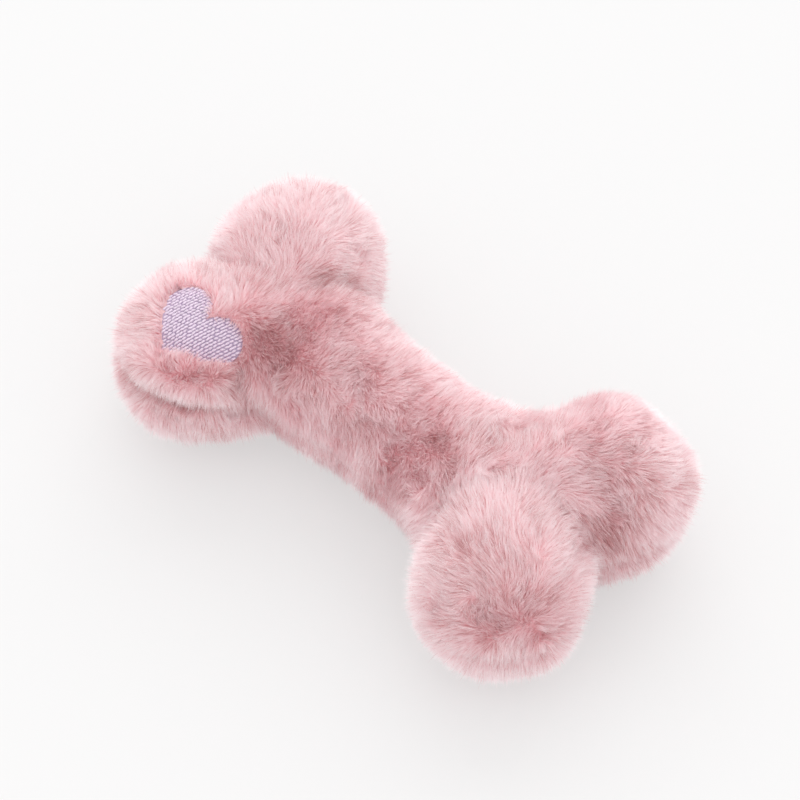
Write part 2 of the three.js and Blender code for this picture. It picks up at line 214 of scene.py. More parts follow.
def pathDistance(points, path):
    # the least distance to a line of straight stretches
    path = np.array(path, float)
    least = np.full(points.shape[:-1], np.inf)
    for start, end in zip(path[:-1], path[1:]):
        run = end - start
        share = np.clip(((points - start) @ run) / (run @ run), 0, 1)
        least = np.minimum(least, np.linalg.norm(points - start - share[..., None] * run, axis=-1))
    return least


# The embroidered heart on the near left knuckle.
heart = dict(width=37, length=34, turn=-5, floor=4.75, leanShares=(0.2, -0.27, 0.94), middleUp=1,
             rimWidth=6)
heartKnuckle = knuckleTable[0]
heartLean = unit(np.array(heart["leanShares"]))
heartCentre = firstCrossing(heartKnuckle["centre"][None], heartLean[None], formDistance, 60)[0]
heartOut = slopeOf(formDistance, heartCentre[None])[0]
heartAcross = unit(np.cross((0, 1, 0), heartOut))
heartUp = np.cross(heartOut, heartAcross)
heartTurn = math.radians(heart["turn"])
heartAcross, heartUp = (heartAcross * math.cos(heartTurn) + heartUp * math.sin(heartTurn),
                        heartUp * math.cos(heartTurn) - heartAcross * math.sin(heartTurn))


def heartOutline(turns):
    # the heart curve: the cube of a sine across, four cosines upwards
    across = np.sin(turns) ** 3 * heart["width"] / 2
    up = sum(share * np.cos((order + 1) * turns) for order, share in enumerate((13, -5, -2, -1))) / 29
    return across, up * heart["length"]


def heartSpoke(points):
    # places in the heart's plane about its middle, and how far above that plane they lie
    offset = points - heartCentre
    return offset @ heartAcross, offset @ heartUp - heart["middleUp"], offset @ heartOut


outlineAcross, outlineUp = heartOutline(np.linspace(0, 2 * np.pi, 181))
outlineUp = outlineUp - heart["middleUp"]
outlineTurn = np.unwrap(np.arctan2(outlineAcross, outlineUp))
outlineOrder = np.argsort(outlineTurn)
outlineReach = np.hypot(outlineAcross, outlineUp)[outlineOrder]


def heartGap(points):
    # how far outside the heart's outline a point lies, along a spoke from the heart's middle;
    # the knuckle's far side counts as far outside
    across, up, out = heartSpoke(points)
    reach = np.interp(np.arctan2(across, up), outlineTurn[outlineOrder], outlineReach, period=2 * np.pi)
    return np.where(out > -15, np.hypot(across, up) - reach, 99)


# A fold of the cover lies over the heart's lower edge: it starts at a line square to this direction.
foldOver = dict(away=(0.52, -0.85, 0), start=0, end=1.6)


def foldShare(points):
    return smoothStep(points @ np.array(foldOver["away"], float), foldOver["start"], foldOver["end"])


# The knitted backing under the pile, with the creases and dents that the stuffing and the stitches give it.
skin = dict(depth=2.8, thickness=1.2, pairBlend=3, endShare=0.74, lumpLength=34, lumpHeight=0.7,
            grooveDepth=2.2, grooveWidth=2.4, capX=75, capRows=34, shaftRows=104, turns=240, reach=70)
# Creases, and rolls beside them: a path over the cover, how deep it goes in, and how wide it is.
folds = [
    ([(-112, -30, 40), (-98, -52, 42), (-83, -59, 42), (-62, -52, 43), (-42, -33, 36)], 6.5, 3.2),
    ([(-56, -20, 66), (-53, -31, 58), (-48, -38, 48), (-42, -34, 36)], 6.5, 4),
    ([(-61, 2, 68), (-52, 20, 62), (-45, 32, 48)], 3.4, 4),
    ([(-54, -10, 66), (-44, -10, 66)], 1.8, 6),
    ([(18, -17, 61), (27, -9, 63)], 1.6, 5),
    ([(46, -33, 52), (50, -42, 40), (48, -44, 26)], 2, 5),
    ([(88, 8, 67), (96, 8, 62), (103, 7, 54), (108, 9, 46)], 4.5, 5),
    ([(-84, -55, 56), (-72, -50, 59), (-63, -44, 59), (-54, -38, 56)], -3.2, 6),
    ([(-84, -57, 51), (-72, -54, 53), (-60, -47, 53)], -1.4, 7),
]
deepestFold = max(depth for path, depth, width in folds)


def foldDepths(points):
    return [depth * bell(pathDistance(points, path), width) for path, depth, width in folds]


def skinDistance(points):
    form = formDistance(points, skin["pairBlend"], skin["endShare"])
    distance = form + skin["depth"] + skin["lumpHeight"] * waves(points, skin["lumpLength"], 5)
    distance += sum(foldDepths(points))
    distance += skin["grooveDepth"] * bell(points[..., 2] - centreHeight, skin["grooveWidth"])
    inHeart = smoothStep(-heartGap(points), -1, 0.8) * (1 - foldShare(points))
    return distance + (form + heart["floor"] - distance) * inHeart


# Rays square to the bone's axis, fanned out round its two ends: one row for each station and polar angle.
capAngles = np.linspace(0, np.pi / 2, skin["capRows"] + 1)
polars = np.concatenate([-capAngles[:0:-1], np.zeros(skin["shaftRows"] + 1), capAngles[1:]])[:, None]
stations = np.concatenate([
    np.full(skin["capRows"], -skin["capX"]),
    np.linspace(-skin["capX"], skin["capX"], skin["shaftRows"] + 1),
    np.full(skin["capRows"], skin["capX"]),
])[:, None]
skinTurns = np.linspace(0, 2 * np.pi, skin["turns"] + 1)
skinDirections = stack(np.sin(polars), -np.cos(polars) * np.cos(skinTurns),
                       np.cos(polars) * np.sin(skinTurns))
skinStarts = np.broadcast_to(stack(stations, 0, centreHeight), skinDirections.shape)
skinPoints = firstCrossing(skinStarts, skinDirections, skinDistance, skin["reach"])
skinNormals = slopeOf(skinDistance, skinPoints)
print("skin", skinPoints.shape)

# How the soft pieces follow the joints, and the skin's rows at both ends of the shaft's middle stretch.
bend = dict(hingeToKnuckle=60, ballRadius=45, startX=22, endX=62)
dimple = dict(length=22, lowZ=40, highZ=62)
hingeX = knuckleX - bend["hingeToKnuckle"]
leftMark, rightMark = [np.abs(skinPoints[:, 0, 0] - side * bend["startX"]).argmin() for side in (-1, 1)]


def hingeReach(points, end):
    # how far past an end's hinge a point is along the bone, and how far from the hinge's middle
    beyond = end * points[..., 0] - hingeX
    return beyond, np.sqrt(beyond**2 + points[..., 1] ** 2 + (points[..., 2] - centreHeight) ** 2)


def follow(piece, how):
    # the left or right end and the top have their place baked into the mesh, a squashed piece rides on the
    # shaft with a mesh of its own, and anything else rides on its body
    if how in ("left", "right"):
        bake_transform(piece)
    elif how == "dent":
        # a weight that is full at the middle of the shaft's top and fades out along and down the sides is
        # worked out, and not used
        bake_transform(piece)
        points = np.empty(len(piece.data.vertices) * 3, np.float32)
        piece.data.vertices.foreach_get("co", points)
        points = (points.reshape(-1, 3) - axisPlace) / mm
        along = np.clip(1 - (points[:, 0] / dimple["length"]) ** 2, 0, 1) ** 2
        weight = along * smoothStep(points[:, 2], dimple["lowZ"], dimple["highZ"])
    elif how == "squash":
        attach(piece, "shaft")
        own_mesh(piece)
    else:
        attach(piece, how)


def followOf(zone):
    # how a zone of the cover follows the joints
    if "left" in zone or "right" in zone:
        return "left" if "left" in zone else "right"
    return "dent" if "top" in zone else "shaft"


def link(name, data, material=None):
    if material:
        data.materials.append(material)
    piece = bpy.data.objects.new(name, data)
    bpy.context.scene.collection.objects.link(piece)
    return piece


def addObject(name, mesh, material):
    # one mesh from whole arrays, its place in its vertices and its object at the origin
    points, faces, *uv = mesh
    data = bpy.data.meshes.new(name)
    data.vertices.add(len(points))
    data.vertices.foreach_set("co", (points * mm + axisPlace).astype(np.float32).ravel())
    data.loops.add(faces.size)
    data.loops.foreach_set("vertex_index", faces.astype(np.int32).ravel())
    data.polygons.add(len(faces))
    data.polygons.foreach_set("loop_start", np.arange(0, faces.size, faces.shape[1], dtype=np.int32))
    data.polygons.foreach_set("use_smooth", np.full(len(faces), not uv))
    if uv:
        data.uv_layers.new(name="OFBake").data.foreach_set("uv", uv[0].astype(np.float32).ravel())
    data.update(calc_edges=True)
    return link(name, data, material)


def weld(piece):
    # joins the doubled vertices at poles and borders
    shape = bmesh.new()
    shape.from_mesh(piece.data)
    bmesh.ops.remove_doubles(shape, verts=shape.verts, dist=1e-6)
    bmesh.ops.dissolve_degenerate(shape, edges=shape.edges, dist=1e-7)
    shape.to_mesh(piece.data)
    shape.free()
    return piece


def standFor(piece, node, how):
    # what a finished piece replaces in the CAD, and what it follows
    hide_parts(node)
    follow(piece, how)


def addPiece(name, mesh, material, node, how):
    standFor(weld(addObject(name, mesh, material)), node, how)


def onGrid(grid, row, column):
    # what lies between the points of a grid whose last column meets its first, at broken rows and columns
    low, left = np.floor(row).astype(int), np.floor(column).astype(int)
    down, across = (row - low)[..., None], (column - left)[..., None]
    left, right = left % (grid.shape[1] - 1), (left + 1) % (grid.shape[1] - 1)
    upper = grid[low, left] * (1 - across) + grid[low, right] * across
    lower = grid[low + 1, left] * (1 - across) + grid[low + 1, right] * across
    return upper * (1 - down) + lower * down


def gridFaces(rows, columns):
    # the four-cornered faces of a grid of points
    corner = (np.arange(rows - 1)[:, None] * columns + np.arange(columns - 1)).ravel()
    return stack(corner, corner + 1, corner + columns + 1, corner + columns)


def slabMesh(outer, inner):
    # two grids of one shape, face to face, closed by a border all round
    rows, columns = outer.shape[:2]
    count = rows * columns
    index = np.arange(count).reshape(rows, columns)
    border = np.concatenate([index[0, :-1], index[:-1, -1], index[-1, :0:-1], index[:0:-1, 0]])
    ahead = np.roll(border, -1)
    sides = stack(border, border + count, ahead + count, ahead)
    front = gridFaces(rows, columns)
    points = np.concatenate([outer.reshape(-1, 3), inner.reshape(-1, 3)])
    return points, np.concatenate([front, front[:, ::-1] + count, sides])


def tubeMesh(paths, radii, sides):
    # round tubes along many paths at once: rings square to each path, and a flat end at both ends
    count, stations = paths.shape[:2]
    tangents = unit(np.gradient(paths, axis=1))
    across = unit(np.cross(tangents, np.random.default_rng(1).normal(size=(count, 1, 3))))
    over = np.cross(tangents, across)
    turns = (2 * np.pi * np.arange(sides) / sides)[:, None]
    radii = np.broadcast_to(radii, (count, stations, sides))[..., None]
    around = across[:, :, None] * np.cos(turns) + over[:, :, None] * np.sin(turns)
    rings = paths[:, :, None] + radii * around
    ring, side = np.arange(stations - 1)[:, None] * sides, np.arange(sides)
    low, lowNext = (ring + side).ravel(), (ring + (side + 1) % sides).ravel()
    template = np.concatenate([
        stack(low, lowNext, lowNext + sides), stack(low, lowNext + sides, low + sides),
        stack(0, side[2:], side[1:-1]), stack(0, side[1:-1], side[2:]) + (stations - 1) * sides,
    ])
    faces = np.arange(count)[:, None, None] * stations * sides + template
    return rings.reshape(-1, 3), faces.reshape(-1, 3)


def joinMeshes(*meshes):
    # several meshes of three-sided or four-sided faces as one, each four-sided face cut in two
    points, faces, first = [], [], 0
    for places, corners in meshes:
        if corners.shape[1] == 4:
            corners = np.concatenate([corners[:, [0, 1, 2]], corners[:, [0, 2, 3]]])
        points.append(places)
        faces.append(corners + first)
        first += len(places)
    return np.concatenate(points), np.concatenate(faces)


def latheMesh(profile, sides):
    # a closed profile of radius and height, turned about the squeaker's axis
    radius, height = np.concatenate([profile, profile[:1]]).T
    turns = np.linspace(0, 2 * np.pi, sides + 1)[:, None]
    grid = stack(radius * np.cos(turns), radius * np.sin(turns), height)
    return grid.reshape(-1, 3), gridFaces(*grid.shape[:2])


def roundedLine(corners, radius, steps=5):
    # a closed line with each corner replaced by a curve that cuts it at the same distance on both sides
    corners = np.array(corners, float)
    share = np.linspace(0, 1, steps)[:, None]
    places = []
    for before, corner, after in zip(np.roll(corners, 1, 0), corners, np.roll(corners, -1, 0)):
        towards, away = before - corner, after - corner
        cut = min(radius, np.linalg.norm(towards) * 0.45, np.linalg.norm(away) * 0.45)
        start, end = corner + unit(towards) * cut, corner + unit(away) * cut
        places.append(start * (1 - share) ** 2 + 2 * corner * share * (1 - share) + end * share**2)
    return np.concatenate(places)


def linear(colour):
    # an sRGB hex value as the linear colour that a shader takes
    parts = [int(colour[start:start + 2], 16) / 255 for start in (0, 2, 4)]
    return [part / 12.92 if part <= 0.04045 else ((part + 0.055) / 1.055) ** 2.4 for part in parts] + [1]


def addNode(owner, kind, settings=None, links=None):
    # one node with its settings, its sockets' values by name or order, and what feeds its sockets
    tree = owner.node_tree
    node = tree.nodes.new("ShaderNode" + kind)
    node.location = (200 * len(tree.nodes), 0)
    for name, value in (settings or {}).items():
        if isinstance(name, int) or name in node.inputs:
            node.inputs[name].default_value = value
        else:
            setattr(node, name, value)
    for name, source in (links or {}).items():
        tree.links.new(source, node.inputs[name])
    return node


def addRamp(owner, stops, source):
    ramp = addNode(owner, "ValToRGB", links={"Fac": source})
    elements = ramp.color_ramp.elements
    while len(elements) < len(stops):
        elements.new(1)
    for element, (position, colour) in zip(elements, stops):
        element.position = position
        element.color = linear(colour)
    return ramp.outputs[0]


def newMaterial(name):
    material = bpy.data.materials.new(name)
    material.use_nodes = True
    material.node_tree.nodes.clear()
    return material


def finish(material, look, links):
    surface = addNode(material, "BsdfPrincipled", look, links)
    addNode(material, "OutputMaterial", links={"Surface": surface.outputs[0]})
    return material


def texturedMaterial(name, kind, repeats, settings, stops, relief, look, output="Fac", strength=0.7):
    # a colour ramp and a relief over one procedural texture, with so many repeats to a millimetre
    material = newMaterial(name)
    place = addNode(material, "TexCoord").outputs["Object"]
    texture = addNode(material, kind, {**settings, "Scale": repeats / mm}, {"Vector": place}).outputs[output]
    bump = addNode(material, "Bump", {"Strength": strength, "Distance": relief * mm}, {"Height": texture})
    colour = addRamp(material, stops, texture)
    return finish(material, look, {"Base Color": colour, "Normal": bump.outputs[0]})


pileLook = dict(
    lengthStops=[(0, "f7d8dc"), (0.35, "fce7ea"), (0.7, "fff4f6"), (1, "fffdfe")],
    shadeStops=[(0, "d8a8a9"), (0.1, "efdadb"), (0.33, "fcf9f9"), (1, "ffffff")],
    surface={"Roughness": 0.55, "IOR": 1.5, "Specular IOR Level": 0.35,
             "Sheen Weight": 0.25, "Sheen Roughness": 0.4, "Sheen Tint": linear("ffe6e8")},
)


def pileMaterial():
    # Modacrylic faux rabbit pile, knitted and sheared: rose at the root, pale at the tip, with a silky sheen.
    # The map's first share is the strand's own shade and its second the way from root to tip.
    material = newMaterial("modacrylic_pile_dusty_pink")
    strand = addNode(material, "UVMap", {"uv_map": "OFBake"}).outputs[0]
    shares = addNode(material, "SeparateXYZ", links={"Vector": strand}).outputs
    colours = {6: addRamp(material, pileLook["lengthStops"], shares["Y"]),
               7: addRamp(material, pileLook["shadeStops"], shares["X"])}
    colour = addNode(material, "Mix", {"data_type": "RGBA", "blend_type": "MULTIPLY", 0: 1}, colours)
    return finish(material, pileLook["surface"], {"Base Color": colour.outputs[2]})


pileFinish = pileMaterial()
# Warp-knitted polyester backing, dyed with the pile: matt, with fine loops 0.9 mm apart.
backingFinish = texturedMaterial(
    "knitted_backing_rose", "TexVoronoi", 1 / 0.9, {}, [(0, "f4d0d3"), (0.6, "eabfc3")], 0.2,
    {"Roughness": 0.9, "Specular IOR Level": 0.2}, "Distance", 0.6,
)
# Rayon embroidery thread, lilac: each stitch shines along its length, over finely twisted plies; their relief
# is a bump, and the paler bands over them are painted highlight.
twistedPlies = {"bands_direction": "DIAGONAL", "Distortion": 1.5}
threadFinish = texturedMaterial(
    "rayon_embroidery_thread_lilac", "TexWave", 0.75, twistedPlies,
    [(0, "dcc6dc"), (0.5, "e9d7e9"), (1, "f4e8f4")], 0.05,
    {"Roughness": 0.42, "Specular IOR Level": 0.45, "Sheen Weight": 0.15},
)
# The same thread laid close and flat underneath, coloured darker as painted shade, since less light reaches
# it.
underlayFinish = texturedMaterial(
    "rayon_underlay_thread_lilac_painted_shade", "TexWave", 0.75, twistedPlies, [(0, "b09cb8"), (1, "cab8d0")], 0.05,
    {"Roughness": 0.6, "Specular IOR Level": 0.3},
)
# Cut-away stabiliser, bonded polyester fibres: matt white, with a felted surface.
sheetFinish = texturedMaterial(
    "bonded_fibre_sheet_white", "TexNoise", 0.6, {"Detail": 6, "Roughness": 0.7},
    [(0.3, "dfdcd8"), (0.7, "f6f4f0")], 0.12, {"Roughness": 0.95, "Specular IOR Level": 0.15},
)
# Bonded polyester sewing thread, three plies twisted together, dyed to match the pile.
sewingFinish = texturedMaterial(
    "polyester_sewing_thread_pink", "TexNoise", 2, {"Detail": 3}, [(0.3, "c98f97"), (0.7, "dca6ad")], 0.03,
    {"Roughness": 0.5, "Specular IOR Level": 0.4},
)
# Hollow polyester fibre, crimped and siliconised: soft white, with painted shade in the hollows between the
# fibres.
fibreFinish = texturedMaterial(
    "crimped_polyester_fibre_white", "TexNoise", 0.35, {"Detail": 8, "Roughness": 0.75, "Distortion": 1.2},
    [(0.32, "d4d6d6"), (0.55, "f1f1ef"), (0.75, "fdfdfc")], 0.5,
    {"Roughness": 0.9, "Specular IOR Level": 0.2, "Sheen Weight": 0.3},
)
# Blow-moulded low-density polyethylene: milky, half matt, faintly uneven from the mould.
bulbFinish = texturedMaterial(
    "blow_moulded_polyethylene_milky", "TexNoise", 0.12, {"Detail": 4}, [(0.3, "dfe4e6"), (0.7, "edf0f1")],
    0.06, {"Roughness": 0.42, "IOR": 1.51, "Subsurface Weight": 0.15, "Subsurface Scale": 1.5 * mm},
)
# Injection-moulded polyethylene: white, smooth, with the fine grain of the tool.
plugFinish = texturedMaterial(
    "injection_moulded_polyethylene_white", "TexNoise", 3, {"Detail": 5}, [(0.3, "ebebe6"), (0.7, "f5f5f1")],
    0.01, {"Roughness": 0.35, "IOR": 1.51},
)
# Polyester film: amber, glossy and a little clear, with faint rolling lines.
filmFinish = texturedMaterial(
    "polyester_film_amber", "TexWave", 1.2, {"bands_direction": "X", "Distortion": 2},
    [(0, "bfa566"), (1, "cfb983")], 0.004, {"Roughness": 0.14, "IOR": 1.65, "Transmission Weight": 0.2},
)

# How the pile is combed: a place, the way the tips point there, and how far they stand up.
combing = [
    ((-87, 42, 67), (-0.5, 0.7, -0.4), 0.35), ((-89, 12, 69), (-0.8, 0.4, -0.4), 0.35),
    ((-57, 39, 61), (0.2, 0.8, -0.5), 0.3), ((-64, 7, 71), (-0.1, 1, 0), 0.3),
    ((-73, -10, 72), (-0.3, 0.9, 0), 0.5), ((-61, -18, 68), (0.8, -0.2, 0), 0.95),
    ((-50, -8, 67), (0.8, -0.2, 0), 0.9), ((-101, -46, 56), (-0.7, -0.3, -0.7), 0.4),
    ((-98, -22, 65), (-0.8, 0.3, -0.5), 0.4), ((-82, -12, 71), (-0.6, 0.8, 0), 0.5),
    ((-72, -54, 56), (0, -0.3, 0.6), 0.95), ((-70, -47, 60), (-0.4, 0.6, 0.6), 0.5),
    ((-63, -57, 45), (0.2, -0.2, -1), 0.35), ((-67, -59, 34), (0.3, 0.2, -0.9), 0.3),
    ((-90, -57, 46), (0.1, -0.2, -1), 0.45), ((-21, -17, 59), (1, 0, -0.1), 0.25),
    ((-44, -12, 65), (1, -0.2, 0), 0.85), ((-13, -3, 64), (-0.3, 1, 0.1), 0.35),
    ((-1, -9, 62), (0.9, -0.3, -0.1), 0.35), ((7, 24, 52), (0.3, 0.6, -0.8), 0.2),
    ((19, -14, 61), (0.6, -0.3, 0), 0.85), ((47, 4, 67), (-0.3, 0.9, 0), 0.3),
    ((40, -10, 64), (0.3, 0.8, 0), 0.35), ((33, -21, 57), (1, -0.2, -0.1), 0.3),
    ((-4, -25, 50), (1, 0.1, 0.1), 0.25), ((0, -28, 36), (0.8, 0, -0.6), 0.3),
    ((64, -8, 70), (-0.6, 0.6, 0), 0.35), ((76, -15, 71), (-0.6, 0.7, 0), 0.35),
    ((67, 2, 71), (0.4, 0.6, 0), 0.4), ((88, -3, 68), (0.5, 0.8, -0.3), 0.35),
    ((90, -41, 65), (-0.8, 0.3, 0.4), 0.35), ((82, -54, 58), (-0.9, -0.2, 0.2), 0.4),
    ((62, -38, 60), (-0.7, -0.3, -0.2), 0.35), ((52, -40, 46), (-0.5, -0.4, -0.7), 0.4),
    ((68, -56, 44), (-0.5, -0.2, -0.7), 0.4), ((111, -40, 43), (0.4, 0, -0.5), 0.8),
    ((113, -31, 45), (0, 1, 0.2), 0.5), ((108, -15, 53), (0, 1, 0), 0.4),
    ((100, -57, 31), (-0.2, -0.1, -1), 0.4), ((110, -48, 30), (0.2, -0.3, -1), 0.5),
    ((100, -48, 54), (-0.8, 0.1, 0.6), 0.5), ((90, -57, 48), (-0.9, 0, 0.4), 0.45),
    ((104, -32, 56), (-0.7, 0.5, 0.5), 0.5), ((101, -45, 57), (-0.8, 0, 0.6), 0.3),
    ((103, -50, 50), (-0.8, -0.2, 0.6), 0.4), ((96, -55, 48), (-0.9, -0.1, 0.5), 0.4),
    ((64, -21, 68), (-0.6, 0.7, 0), 0.3), ((81, 20, 70), (0.7, -0.7, 0), 0.4),
    ((94, 16, 65), (0.9, 0, -0.5), 0.35), ((107, 25, 56), (0.5, 0.8, -0.4), 0.4),
    ((110, 14, 46), (0.5, 0, -0.5), 0.9), ((103, 9, 54), (0.3, -0.2, -0.3), 1),
    ((108, 48, 51), (0.1, 0.7, -0.7), 0.4), ((112, 20, 28), (0, 0.2, -1), 0.45),
    ((65, 24, 68), (0.3, 0.9, 0), 0.3), ((83, 49, 66), (0.8, 0.5, -0.3), 0.3),
    ((40, 26, 56), (0.7, 0.5, -0.5), 0.3), ((-30, 26, 56), (0.7, 0.6, -0.5), 0.3),
    ((0, 29, 30), (0.8, 0, -0.6), 0.3), ((0, 0, 6), (1, 0, 0), 0.2),
    ((80, 0, 4), (1, 0, 0), 0.3), ((-80, 0, 4), (1, 0, 0), 0.3),
    ((-113, 30, 36), (0.3, 0.2, -0.8), 0.4), ((-90, 62, 36), (0.4, 0.2, -0.8), 0.35),
    ((90, 66, 36), (0.5, 0.2, -0.8), 0.35),
]
# Painted shade and painted light on the pile: patches where the strands are coloured darker to stand for
# shade, as in the cleft between the right knuckles,
# or paler to stand for light: a place, how far it reaches, and how much paler it makes the strands.
paintedShadeAndLight = [
    ((104, 9, 53), 8, -0.6), ((94, 7, 64), 4, -0.4), ((-46, -20, 61), 6, -0.3), ((20, -17, 60), 4, -0.12),
    ((86, -38, 66), 15, -0.14), ((-20, -16, 60), 9, 0.1), ((39, -20, 60), 8, 0.12), ((-65, -48, 57), 8, 0.15),
]
pile = dict(strands=420000, length=8, lengthSpread=0.5, lockSpread=0.12, shortening=0.35, rootWidth=0.23,
            lift=0.35, liftSpread=0.12, flatAngle=18, uprightAngle=80, headingSpread=0.2, strokeReach=13,
            swirl=0.4, swirlSize=17, ruffle=0.15, ruffleSize=7, droopFrom=-0.55, droopTo=0.1,
            lockSize=1.9, lockPull=0.4, tuftSize=7, tuftPull=0.14,
            rimGap=0.3, rimLift=0.8, rimLean=(-0.3, 2), floorGap=0.15)
# The mean shade of the strands, and how far each cause moves it; the darkening in the creases is painted
# shade.
shading = dict(mean=0.545, lock=0.5, tuft=0.2, strand=0.28, cloud=0.08, cloudSize=30, paintedCreaseShade=-0.7)


def combAt(points, normals):
    # the strokes near a point, each weighted by a bell curve of its distance
    weight = 1e-6 + np.zeros(len(points))
    heading = np.tile(np.array([1e-6, 0, 0]), (len(points), 1))
    lift = pile["lift"] * weight
    for place, direction, height in combing:
        near = nearness(points, place, pile["strokeReach"])
        weight += near
        heading += near[:, None] * unit(np.array(direction, float))
        lift += near * height
    heading = unit(heading) + pile["swirl"] * waveVectors(points, pile["swirlSize"], 21)
    heading += pile["ruffle"] * waveVectors(points, pile["ruffleSize"], 25)
    # on the sides and underneath the tips hang down
    droop = smoothStep(-normals[:, 2], pile["droopFrom"], pile["droopTo"])
    heading = unit(heading + droop[:, None] * np.array([0, 0, -1]))
    return unit(flatten(heading, normals)), lift / weight


def scatterRoots(count, draw):
    # roots spread evenly over the backing: a cell by its area, then a place in the cell
    falling, rising = skinPoints[1:, 1:] - skinPoints[:-1, :-1], skinPoints[:-1, 1:] - skinPoints[1:, :-1]
    total = np.cumsum(np.linalg.norm(np.cross(falling, rising), axis=-1).ravel() / 2)
    picks = (np.arange(count) + draw.uniform(0, 1, count)) / count * total[-1]
    cell = np.minimum(np.searchsorted(total, picks), total.size - 1)
    row, column = np.divmod(cell, skinPoints.shape[1] - 1)
    column = column + draw.uniform(0, 1, count)
    row = row + draw.uniform(0, 1, count)
    return onGrid(skinPoints, row, column), unit(onGrid(skinNormals, row, column))


def growPile(count, draw):
    # straight strands that lean with the combing, closer to the cover where their lift is low;
    # strands of one lock bend their tips towards the lock's middle
    roots, normals = scatterRoots(count, draw)
    gap = heartGap(roots)
    keep = (gap > pile["rimGap"]) | (foldShare(roots) > 0.5)
    roots, normals, gap = roots[keep], normals[keep], gap[keep]
    count = len(roots)
    heading, lift = combAt(roots, normals)
    lockCentre, lockShare = nearestLock(roots, pile["lockSize"], 3)
    tuftCentre, tuftShare = nearestLock(roots, pile["tuftSize"], 4)
    # how near a root is to the heart's edge, and how deep in a crease
    rim = (1 - smoothStep(gap, 0, heart["rimWidth"])) * (1 - foldShare(roots))
    inCrease = np.maximum(np.max(foldDepths(roots), axis=0), 0) / deepestFold
    lift = lift * (1 - rim) + pile["rimLift"] * rim
    lift += pile["liftSpread"] * (lockShare - 0.5 + draw.normal(size=count))
    angleRange = pile["uprightAngle"] - pile["flatAngle"]
    angle = np.radians(pile["flatAngle"] + angleRange * np.clip(lift, 0, 1))[:, None]
    shorter = pile["lengthSpread"] * draw.uniform(0, 1, count) + pile["lockSpread"] * lockShare
    length = pile["length"] * (1 - shorter)
    length *= (1 - pile["shortening"] * rim) * (1 - pile["shortening"] * inCrease)
    heading = unit(heading + pile["headingSpread"] * draw.normal(size=(count, 3)))
    tips = roots + (heading * np.cos(angle) + normals * np.sin(angle)) * length[:, None]
    tips += flatten(lockCentre - roots, normals) * pile["lockPull"]
    tips += flatten(tuftCentre - roots, normals) * pile["tuftPull"]
    # round the heart the tips lean in over its edge
    across, up, out = heartSpoke(roots)
    outwards = unit(across[:, None] * heartAcross + up[:, None] * heartUp)
    tips -= outwards * (rim * draw.uniform(*pile["rimLean"], count))[:, None]
    tips[:, 2] = np.maximum(tips[:, 2], pile["floorGap"])
    shade = shading["mean"] + shading["lock"] * (lockShare - 0.5) + shading["tuft"] * (tuftShare - 0.5)
    shade += shading["strand"] * draw.normal(size=count)
    # the cloud is random tone; the crease term is painted shade, colouring strands deep in a crease darker
    shade += shading["cloud"] * waves(roots, shading["cloudSize"], 31) + shading["paintedCreaseShade"] * inCrease
    # painted shade and painted light: the patches above make strands darker or paler
    shade += sum(paler * nearness(roots, place, reach) for place, reach, paler in paintedShadeAndLight)
    return dict(roots=roots, tips=tips, normals=normals, shade=np.clip(shade, 0.02, 0.98))


def strandMesh(roots, tips, normals, shade):
    # every strand is a slim three-sided cone, one side up, from its root in the backing to its tip
    tangent = unit(tips - roots)
    side = unit(np.cross(tangent, normals) + 1e-6)
    other = np.cross(side, tangent)
    turns = 2 * np.pi * np.arange(3) / 3 + np.pi / 6
    half = pile["rootWidth"] / 2
    ring = [roots + half * (math.cos(turn) * side + math.sin(turn) * other) for turn in turns]
    template = np.array([(1, 0, 3), (2, 1, 3), (0, 2, 3)])
    faces = (np.arange(len(roots))[:, None, None] * 4 + template).reshape(-1, 3)
    # the map: a strand's shade, a little apart at its corners, and the way from root to tip
    shades = shade[:, None, None] + np.array([-0.004, 0, 0.004, 0])[template]
    uv = stack(shades, np.array([0, 0, 0, 1])[template])
    return np.stack(ring + [tips], axis=1).reshape(-1, 3), faces, uv.reshape(-1, 2)


def zoneOf(points):
    # the zone that a root belongs to: a knuckle's quarter past the ball joint, or a stretch of the shaft
    join = np.char.add
    level = np.where(points[:, 2] >= centreHeight, "_top", "_bottom")
    end = np.where(points[:, 0] < 0, "left", "right")
    side = np.where(points[:, 1] < 0, "_front", "_back")
    stretch = np.where(np.abs(points[:, 0]) < bend["startX"], "middle", end)
    beyond, reach = hingeReach(points, np.sign(points[:, 0]))
    isKnuckle = (beyond > 0) & (reach > bend["ballRadius"])
    return join(np.where(isKnuckle, join(join("knuckle_", end), side), join("shaft_", stretch)), level)


def addFur():
    strands = growPile(pile["strands"], np.random.default_rng(11))
    zones = zoneOf(strands["roots"])
    for zone in sorted(set(zones)):
        chosen = zones == zone
        mesh = strandMesh(**{key: values[chosen] for key, values in strands.items()})
        node = "plush_" + (zone if "knuckle" in zone else "shaft_" + zone.split("_")[2])
        standFor(addObject("fur_" + zone, mesh, pileFinish), node, followOf(zone))
        print("fur", zone, chosen.sum(), "strands")


def addBacking():
    half = skin["turns"] // 2
    rowRanges = dict(left=(0, leftMark), middle=(leftMark, rightMark), right=(rightMark, len(stations) - 1))
    for stretch, (first, last) in rowRanges.items():
        for level, start in (("top", 0), ("bottom", half)):
            part = np.s_[first:last + 1, start:start + half + 1]
            outer = skinPoints[part]
            name = "backing_" + stretch + "_" + level
            mesh = slabMesh(outer, outer - skin["thickness"] * skinNormals[part])
            piece = weld(addObject(name, mesh, backingFinish))
            follow(piece, followOf(name))
    print("backing")


# The embroidery: a close ground of thread with rows of raised fill stitches, and a soft sheet behind it.
stitching = dict(length=1.75, pitch=1.95, rows=1.2, lean=12, leanSpread=0.3, wander=0.15, width=0.47,
                 height=0.5, taper=0.75, sink=0.12, inset=0.4, ground=3.75, groundDepth=0.7,
                 sheetMargin=2, sheetTop=7.5, sheetDepth=0.6, startDepth=22, reach=34)


def heartPlace(across, up):
    return heartCentre + across[..., None] * heartAcross + up[..., None] * heartUp


